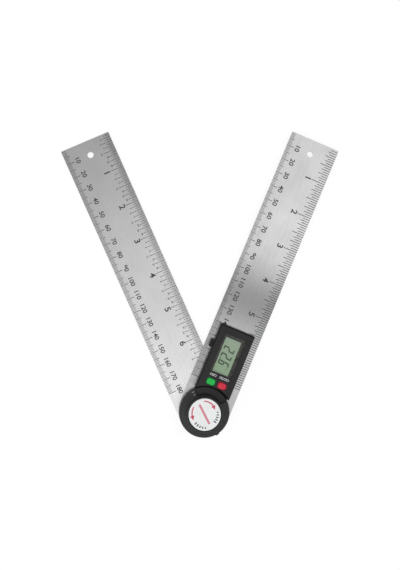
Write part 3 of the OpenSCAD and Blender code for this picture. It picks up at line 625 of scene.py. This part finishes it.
clear, tree, acrylic = finish("window_acrylic", (0.10, 0.11, 0.10), 0.0, 0.04, Alpha=0.08)
touch = noise(tree, place(tree), 250, 4)
tree.links.new(sized(tree, touch, 0.02, 0.10, 0.45, 0.75), acrylic.inputs["Roughness"])
tree.links.new(tinted(tree, sized(tree, touch, 0, 1), (0.06, 0.07, 0.06), (0.14, 0.15, 0.14)),
               acrylic.inputs["Base Color"])
coat("display_window", clear)


def band(points, width, closed=False):
    """The outline of a stroke of one width along a path of points. A closed path ends where it starts."""
    path = np.array(points, float)
    if closed:
        path = np.vstack([path, path[:1]])
        step = np.roll(path[:-1], -1, 0) - np.roll(path[:-1], 1, 0)
        step = np.vstack([step, step[:1]])
    else:
        step = np.gradient(path, axis=0)
    side = np.stack([-step[:, 1], step[:, 0]], -1) / np.linalg.norm(step, axis=1)[:, None] * width / 2
    return [*(path + side).tolist(), *(path - side)[::-1].tolist()]


# The adhesive that holds it: a brown-grey frame on the ledge, which stops short of the recess's wall
window_x, window_y, inset = (27.5, 54.7), (-7.3, 7.7), 0.57
glue_line = oblong(*((low + inset, high - inset) for low, high in (window_x, window_y)), 0.5)
glue_low, glue_high = 9.705, 9.745
glue = mottled("window_glue", (0.042, 0.041, 0.034), (0.065, 0.064, 0.055), 2000, 2, (0.4, 0.6))
dress(printed("window_adhesive", [band(glue_line, 0.45, closed=True)], upper_turn, glue_low, glue_high),
      glue, "upper_arm", "gasket_foam")

# ---- Housing cover ----
# The display unit's charcoal cover, moulded in one with its screw bosses, and hollowed about the knob. Its
# edges carry the mould's small radius, so the frame's solid is copied and bevelled.

cover_top = 10.75
# Its chamfers and bevels are painted near black: painted shade, above all along the far end, where the end
# wall and its shadow on the blade show dark
cover_plastic = moulded_plastic("cover_moulding", (0.020, 0.020, 0.0205), (0.029, 0.029, 0.030), 0.46,
                                painted_slope_shade=(0.0015, 0.0015, 0.0016), worn=(0.035, 0.035, 0.037),
                                specular=0.15)
dress(break_edges(joined_copy("housing_cover", "cover"), 0.18, 3), cover_plastic,
      "upper_arm", "housing_plastic", "housing_cover")


def arc(x, y, radius, start, end, steps=20):
    """Points on a circle about (x, y) between two angles in degrees."""
    turn = np.radians(np.linspace(start, end, steps))
    return np.stack([x + radius * np.cos(turn), y + radius * np.sin(turn)], -1)


# A strip of near-black felt along the foot of the hollow end darkens the gap beside the knob: painted shade,
# a dark sheet for the shadow in that gap
felt_in, felt_out, felt_low, felt_high = 17.1, 17.88, 3.85, 5.2
felt_line = [*arc(0, 0, felt_out, -40, 43, 60), *arc(0, 0, felt_in, 43, -40, 60)]
gap_shade_black = mottled("gap_shade_felt", (0.003, 0.003, 0.003), (0.012, 0.012, 0.012), 6000, 2, 0.9, depth=0.05)
dress(printed("hollow_felt", [felt_line], upper_turn, felt_low, felt_high), gap_shade_black,
      "upper_arm", "gasket_foam")

# Printed signs over the buttons, each pair in a frame: a pause sign for hold, and a power sign and a nought
sign_x, frame_half, sign_half, frame_line, sign_line = 26.15, 0.54, 0.34, 0.26, 0.2
signs = [band(oblong((sign_x - frame_half, sign_x + frame_half), ends, 0.45), frame_line, closed=True)
         for ends in ((2.5, 6.9), (-6.35, 0.15))]
signs += [oblong((sign_x - sign_half, sign_x + sign_half), (y - 0.2, y + 0.2), 0.05) for y in (4.3, 5.1)]
signs += [band(arc(sign_x - 0.03, -1.5, 0.28, 40, 320, 16), sign_line)]
signs += [oblong((sign_x + 0.02, sign_x + 0.4), (-1.6, -1.4), 0.04)]
signs += [band([(sign_x - sign_half, -2.9), (sign_x + sign_half, -3.3)], sign_line)]
signs += [band(arc(sign_x, -4.7, 0.28, 0, 345, 24), sign_line, closed=True)]
print_white = mottled("printed_white", (0.50, 0.50, 0.51), (0.72, 0.72, 0.73), 3000, 1, 0.5)
dress(printed("cover_signs", signs, upper_turn, *ink_on(cover_top)), print_white,
      "upper_arm", "label_white")

# ---- Pressure washer ----
# A flat steel ring on the collar, which takes the knob's thrust and spares the moulding.

coat("pressure_washer", turned_metal("thrust_ring", (0.50, 0.50, 0.51), (0.68, 0.68, 0.69), 0.3))

# ---- Lock knob ----
# A black moulded knob: scalloped rim, a cove up to the raised centre, hollow below about the hub that holds
# the insert. A thumb tab stands out of the rim, and a step in it faces the display unit.

knob_r, ribs = 17.0, 72
knob_low, knob_top, label_seat = 4.82, 12.62, 12.22
label_r, centre_r = 10.6, 11.8


def rounded(corners, steps=4):
    """A profile through corners (radius, height, rounding). A corner becomes a parabola that starts and ends
    its rounding away from it."""
    at = np.array([c[:2] for c in corners], float)
    path = [at[0]]
    for before, corner, after, reach in zip(at, at[1:], at[2:], [c[2] for c in corners[1:]]):
        start = corner + (before - corner) / np.linalg.norm(before - corner) * reach
        end = corner + (after - corner) / np.linalg.norm(after - corner) * reach
        for s in np.linspace(0, 1, steps + 1):
            path.append((1 - s) ** 2 * start + 2 * s * (1 - s) * corner + s ** 2 * end)
    return np.array([*path, at[-1]])


rim = [(12.15, 8.8, 0.3), (13.0, 7.86, 0.5), (15.3, 7.36, 0.4), (16.55, 7.32, 0.25), (17.0, 6.85, 0.15),
       (17.0, 6.65, 0), (17.0, 6.5, 0), (17.0, 5.55, 0), (17.0, 5.4, 0)]
step = [(12.4, 8.45, 0.15), (12.4, 6.22, 0.08), (12.6, 6.12, 0.08), (16.75, 6.12, 0.15), (17.0, 5.9, 0.1),
        (17.0, 5.7, 0), (17.0, 5.65, 0), (17.0, 5.55, 0), (17.0, 5.4, 0)]


def knob_profile(shoulder):
    """The knob's section from the label's seat over a shoulder and under the rim to the top of the hub."""
    return rounded([(0, label_seat, 0), (label_r + 0.1, label_seat, 0.05), (label_r + 0.1, knob_top, 0.1),
                    (centre_r - 0.1, knob_top, 0.3), (centre_r, 9.6, 0.5), *shoulder, (17.0, 5.1, 0.1),
                    (16.75, knob_low, 0.1), (14.1, knob_low, 0.1), (14.1, 5.22, 0.1), (11.4, 5.22, 0.15),
                    (10.4, 6.3, 0.3), (10.4, 10.8, 0.3), (6.3, 10.8, 0.3), (6.3, 6.4, 0.1),
                    (5.25, 6.4, 0.05), (5.25, 10.6, 0.05), (0, 10.6, 0)])


def ease(value):
    """A smooth step from 0 to 1."""
    value = np.clip(value, 0, 1)
    return value * value * (3 - 2 * value)


step_from, tab_at, tab_half, tab_out = 273, 187, 1.35, 0.6
groove_r, groove_out, soft = 0.4, 0.13, 0.3


def knob_skin(turn, high, low):
    """Points of the knob at angles turn, counted from the lower blade, and the rows of its two profiles. The
    high profile holds all round but in the step, from its first angle to the lower blade, where the low one
    does. Outside the step no radius passes the scalloped edge: a circle with ribs and round grooves."""
    degrees = np.degrees(turn) % 360
    inside = ease((degrees - step_from + 0.25) / 0.5) * ease((360 - degrees - 0.25) / 0.5 + 1)
    r = high[:, :1] + (low[:, :1] - high[:, :1]) * inside
    z = high[:, 1:] + (low[:, 1:] - high[:, 1:]) * inside
    pitch = 2 * pi * knob_r / ribs
    off = np.abs((turn * knob_r) % pitch - pitch / 2)
    groove = np.sqrt(np.maximum(groove_r ** 2 - off ** 2, 0)) - groove_out
    from_tab = np.abs(degrees - tab_at) * pi / 180 * knob_r
    plain = ease((from_tab - tab_half - 0.35) / soft) * (1 - inside)
    tab = ease((tab_half - from_tab) / soft) * tab_out
    rim_rows = ease((r - 16.0) / 0.5)
    tab_rows = ease((z - 5.4) / 0.15) * ease((6.65 - z) / 0.15)
    edge = knob_r - np.maximum(groove, 0) * plain
    return np.minimum(r, np.where(r > 15.5, edge, 99)) + tab * rim_rows * tab_rows, z


def revolve(turn, r, z):
    """Points about the pivot's axis from angles, radii and heights, in the lower arm's frame."""
    return np.stack([r * np.cos(turn), r * np.sin(turn), z + 0 * r], -1)


def grid_faces(rows, columns, around=True):
    """The four-cornered faces of a grid; around joins its last column to its first."""
    i, j = np.meshgrid(np.arange(rows - 1), np.arange(columns if around else columns - 1), indexing="ij")
    k = (j + 1) % columns
    corners = np.stack([i * columns + j, (i + 1) * columns + j, (i + 1) * columns + k, i * columns + k], -1)
    return corners.reshape(-1, 4)


def closed_skin(piece, smooth_below=40):
    """Merges a grid's collapsed rows into poles, turns its faces outward and smooths all but its edges."""
    shell = bmesh.new()
    shell.from_mesh(piece.data)
    bmesh.ops.remove_doubles(shell, verts=shell.verts, dist=0.0005 * mm)
    bmesh.ops.dissolve_degenerate(shell, edges=shell.edges, dist=0.0002 * mm)
    bmesh.ops.recalc_face_normals(shell, faces=shell.faces)
    shell.to_mesh(piece.data)
    shell.free()
    piece.data.shade_smooth()
    piece.data.set_sharp_from_angle(angle=radians(smooth_below))
    return piece


# Every half degree, and closer at the step's two ends
turns = np.arange(0, 360, 0.5)
turns = np.radians(np.unique(np.append(turns, [0.25, 359.75, 272.75, 273.25, 272.9, 273.1])))
full, stepped = knob_profile(rim), knob_profile(step)
r, z = knob_skin(turns[None], full, stepped)
knob = shape("knob", turned(revolve(turns[None], r, z), lower_turn), grid_faces(len(full), len(turns)))
knob_plastic = moulded_plastic("knob_moulding", (0.021, 0.021, 0.0215), (0.031, 0.031, 0.032), 0.42,
                               worn=(0.042, 0.042, 0.044), specular=0.25)

# Within 11.15 mm of the axis, round the label's edge, the knob is painted near black: painted shade
tree = knob_plastic.node_tree
surface = tree.nodes["Principled BSDF"].inputs["Base Color"]
flat_spot = put(tree, "VectorMath", {0: place(tree), 1: (1, 1, 0)}, operation="MULTIPLY").outputs[0]
from_axis = put(tree, "VectorMath", {0: flat_spot}, operation="LENGTH").outputs["Value"]
painted_shadow_ring = put(tree, "Mix", {0: sized(tree, from_axis, 0, 1, 0.01115, 0.01135), 6: (0.003, 0.003, 0.0031, 1),
                         7: surface.links[0].from_socket}, data_type="RGBA").outputs[2]
tree.links.new(painted_shadow_ring, surface)
dress(closed_skin(knob), knob_plastic, "knob", "knob_plastic", "lock_knob")

# The index mark beside the step: two bars of grey paint along the rim, half worn off, that follow its shape
cove = full[(full[:, 0] > 11.9) & (full[:, 1] > 7)]
rows, columns, paint = 5, 10, 0.03
dashes, dash_faces = [], []
for start, end in ((13.45, 14.15), (15.35, 16.05)):
    reach, sweep = np.meshgrid(np.linspace(start, end, rows), np.linspace(0.9, 7.9, columns), indexing="ij")
    reach, sweep = reach.ravel(), sweep.ravel()
    heights = np.interp(reach, *cove.T) + paint
    dash_faces.append(grid_faces(rows, columns, around=False)[:, ::-1] + rows * columns * len(dashes))
    dashes.append(revolve(np.radians(sweep), reach, heights))
index = shape("index_mark", turned(np.concatenate(dashes), lower_turn), np.concatenate(dash_faces))
index_grey = mottled("index_paint", (0.08, 0.08, 0.082), (0.24, 0.24, 0.244), 2200, 2, 0.5)
dress(index, index_grey, "knob", "label_white")

# ---- Knob insert ----
# A hexagonal brass nut moulded into the hub, which runs on the stud's thread.

coat("knob_insert", plated("insert_brass", (0.52, 0.38, 0.15), (0.70, 0.54, 0.26), 0.32))

# ---- Label ----
# A white plastic disc glued into the knob's seat. Printed on it: two curved arrows, a grip line across the
# middle, and rows of bars that grow toward tight and shrink toward loose.

disc = mottled("label_disc", (0.79, 0.81, 0.81), (0.84, 0.855, 0.85), 220, 3, (0.28, 0.42), specular=0.3)
coat("knob_label", disc)

label_top = 12.42


def head(tip, way, long, wide):
    """An arrow's head: a triangle with its tip at a point and its axis along an angle in degrees."""
    ahead = np.array([cos(radians(way)), sin(radians(way))])
    side = np.array([-ahead[1], ahead[0]])
    base = np.array(tip) - ahead * long
    return [tuple(tip), tuple(base + side * wide / 2), tuple(base - side * wide / 2)]


arrows = [band(arc(-0.4, 1.13, 7.67, 90, 38), 0.8), head((6.8, 3.1), -67, 2.9, 3.0)]
arrows += [band(arc(-0.3, 0.9, 8.05, 148, 193), 0.8), head((-7.5, -3.5), -74, 2.9, 3.0)]
bars = []
bars_out, bar_wide = 9.25, 0.85
for first, last, start, end in ((9.0, -36.0, 1.1, 2.0), (223.0, 272.0, 2.0, 1.1)):
    for share in np.linspace(0, 1, 5):
        way, tall = radians(first + (last - first) * share), start + (end - start) * share
        bars.append(band([(r * cos(way), r * sin(way)) for r in (bars_out - tall, bars_out)], bar_wide))
grip_line = [band([(-3.4, 6.7), (3.0, -6.2)], 1.45)]

# Screen-printed ink is a little uneven
for name, outlines, dark, light in (
        ("label_arrows", arrows, (0.52, 0.045, 0.10), (0.64, 0.085, 0.15)),
        ("label_grip_line", grip_line, (0.56, 0.16, 0.21), (0.72, 0.27, 0.32)),
        ("label_bars", bars, (0.06, 0.06, 0.066), (0.12, 0.12, 0.127))):
    dress(printed(name, outlines, 0, *ink_on(label_top)), mottled(name + "_ink", dark, light, 2600, 2, 0.4),
          "knob", "label_white")

# ---- Buttons ----
# Two keys of coloured silicone-soft plastic, each with a low crown, a flange that stops it under the cover
# and a stem down to its switch.


def key(name, y, dark, light, shade):
    """A key as a stack of closed loops about its middle. In each, |x/a|^n + |y/b|^n = 1, with its own half
    sizes a and b, height, n and shift. The crown's loops shrink as its height nears the top."""
    body = [(0, 0, 6.5, 2, 0), (0.9, 0.9, 6.5, 2, 0), (0.9, 0.9, 8.63, 2, 0), (2.6, 3.6, 8.63, 9, 0.3),
            (2.6, 3.6, 9.33, 9, 0.3), (2.33, 3.03, 9.33, 4.6, 0), (2.33, 3.03, 10.2, 4.6, 0),
            (2.29, 3.0, 10.35, 4.5, 0), (2.17, 2.9, 10.65, 4.3, 0), (2.04, 2.78, 10.88, 4.0, 0)]
    for share in np.linspace(1, 0, 13):
        body.append((1.96 * share, 2.7 * share, 10.98 + 0.26 * (1 - share ** 2), 3.9, 0))
    a, b, level, n, shift = (np.array(v, float)[:, None] for v in zip(*body))
    sides = 96
    turn = np.linspace(0, 2 * pi, sides, endpoint=False)[None]
    x = button_x + shift + a * np.sign(np.cos(turn)) * np.abs(np.cos(turn)) ** (2 / n)
    across = y + b * np.sign(np.sin(turn)) * np.abs(np.sin(turn)) ** (2 / n)
    points = np.stack([x, across, np.broadcast_to(level, x.shape)], -1)
    piece = closed_skin(shape(name, turned(points, upper_turn), grid_faces(len(body), sides)), 50)
    # The shade colour goes on the key's sloping sides: painted shade
    return piece, moulded_plastic(name + "_plastic", dark, light, 0.36, painted_slope_shade=shade, pimple=0.004,
                                  specular=0.3)


button_x = 21.3
green, green_plastic = key("hold_key", 4.4, (0.008, 0.40, 0.055), (0.014, 0.48, 0.075),
                           (0.002, 0.055, 0.012))
dress(green, green_plastic, "hold_key", "button_green", "green_button")
red, red_plastic = key("zero_key", -3.6, (0.54, 0.018, 0.045), (0.64, 0.028, 0.06), (0.10, 0.004, 0.008))
dress(red, red_plastic, "zero_key", "button_red", "red_button")

# A dark line in the key's own colour lies round each hole as a thin film on the cover: painted shade for the
# gap and the edge of the hole
for name, y, colour, slot in (("hold_shadow_line", 4.4, (0.002, 0.024, 0.008), "button_green"),
                              ("zero_shadow_line", -3.6, (0.032, 0.003, 0.005), "button_red")):
    around = oblong((button_x - 2.62, button_x + 2.62), (y - 3.32, y + 3.32), 1.35)
    line = printed(name, [band(around, 0.42, closed=True)], upper_turn, *ink_on(cover_top))
    ink = mottled(name + "_ink", tuple(0.7 * c for c in colour), colour, 2600, 2, 0.5)
    dress(line, ink, "upper_arm", slot)

# ---- Battery tray and coin cell ----
# A shallow moulded tray slides into the cover from the millimetre side. Its lip is the finger grip, and the
# steel coin cell lies in it, positive side up.

tray_plastic = moulded_plastic("tray_moulding", (0.009, 0.009, 0.0095), (0.016, 0.016, 0.017), 0.48,
                               specular=0.3)
dress(break_edges(joined_copy("battery_tray", "cell_tray"), 0.12), tray_plastic, "tray", "tray_plastic",
      "battery_tray")
coat("coin_cell", plated("cell_can", (0.56, 0.56, 0.56), (0.72, 0.72, 0.71), 0.26, 4.0))

# ---- Studio ----
# A plain white table under a soft white sky, one broad lamp to the left of the pivot, and the camera above.


def white_to_the_eye(tree, lit):
    """Mixes a lit surface with plain white for the camera, for mirrors and through glass, and leaves it as
    it is for light that it scatters."""
    path = put(tree, "LightPath").outputs
    seen = path["Is Camera Ray"]
    for other in ("Is Glossy Ray", "Is Transmission Ray"):
        seen = maths(tree, "MAXIMUM", seen, path[other])
    share = maths(tree, "MULTIPLY", seen, 0.75)
    white = put(tree, "Emission", {"Color": (1, 1, 1, 1), "Strength": 1.08}).outputs[0]
    return put(tree, "MixShader", {0: share, 1: lit, 2: white}).outputs[0]


table_half, table_top = 4, -0.0002
corners = [(table_half * x, table_half * y, table_top) for x, y in ((-1, -1), (1, -1), (1, 1), (-1, 1))]
table = shape("table", corners, [[0, 1, 2, 3]])
card = bpy.data.materials.new("white_card")
card.use_nodes = True
tree = card.node_tree
tree.nodes.remove(tree.nodes["Principled BSDF"])
lit = put(tree, "BsdfDiffuse", {"Color": (0.82, 0.82, 0.82, 1)}).outputs[0]
tree.links.new(white_to_the_eye(tree, lit), tree.nodes["Material Output"].inputs["Surface"])
table.data.materials.append(card)

sky = bpy.data.worlds.new("studio")
sky.use_nodes = True
bpy.context.scene.world = sky
tree = sky.node_tree
shine = tree.nodes["Background"]
way = put(tree, "TexCoord").outputs["Generated"]
x, y, z = (put(tree, "SeparateXYZ", {0: way}).outputs[i] for i in range(3))
up = maths(tree, "MAXIMUM", z, 0.2)


def lean(along_x, along_y):
    """How far a direction leans from straight up along a level line, as the tangent of its angle."""
    return maths(tree, "DIVIDE", weave_in(tree, (x, along_x), (y, along_y)), up)


# What the blades mirror from straight above: a sky that dims toward the left blade's tip. Over the right
# blade it is brighter toward the tip, with a dark band across that blade in front of the display unit
left_arm, right_arm, inner_side = (-0.396, 0.918), (0.396, 0.918), (-0.918, 0.396)
near_up = sized(tree, z, 0, 1, 0.45, 0.85)
fall = sized(tree, lean(*left_arm), 0.11, -0.42, -0.2, 0.4)
right_side = sized(tree, lean(*inner_side), 1, 0, -0.089, 0.061)
right_lean = lean(*right_arm)
off_band = sized(tree, right_lean, -1, 1, -0.038, 0.122)
band_square = maths(tree, "MULTIPLY", off_band, off_band)
beyond = sized(tree, right_lean, -0.895, -0.52, 0.042, 0.122)
right_level = maths(tree, "MULTIPLY_ADD", band_square, 1.17, beyond)
by_the_unit = sized(tree, right_lean, -0.45, 0, -0.11, -0.05)
unit_side = sized(tree, lean(*inner_side), 1, 0, -0.17, -0.05)
change = weave_in(tree, (fall, 1.0), (right_level, right_side), (by_the_unit, unit_side))
seen_sky = maths(tree, "MULTIPLY_ADD", change, near_up, 0.9)
camera_ray = put(tree, "LightPath").outputs["Is Camera Ray"]
strength = put(tree, "Mix", {0: camera_ray, 2: seen_sky, 3: 1.05}, data_type="FLOAT").outputs[0]
tree.links.new(strength, shine.inputs["Strength"])
shine.inputs["Color"].default_value = (1, 1, 1, 1)

lamp_data = bpy.data.lights.new("broad_lamp", "AREA")
lamp_data.shape, lamp_data.size, lamp_data.energy = "SQUARE", 0.5, 1.2
lamp = bpy.data.objects.new("broad_lamp", lamp_data)
bpy.context.scene.collection.objects.link(lamp)
lamp.location = (-0.45, -0.35, 0.75)
lamp.rotation_euler = (Vector((0, 0.07, 0)) - lamp.location).to_track_quat("-Z", "Y").to_euler()

camera_data = bpy.data.cameras.new("camera")
camera_data.sensor_width, camera_data.lens = 36, 29.452
camera = bpy.data.objects.new("camera", camera_data)
bpy.context.scene.collection.objects.link(camera)
camera.rotation_euler = tuple(np.radians([0.643, -2.194, -0.648]))
aim, distance = Vector((-1.69 * mm, 85.487 * mm, 0)), 0.32
camera.location = aim + camera.rotation_euler.to_matrix() @ Vector((0, 0, distance))
bpy.context.scene.camera = camera

bpy.context.scene.view_settings.view_transform = "Standard"
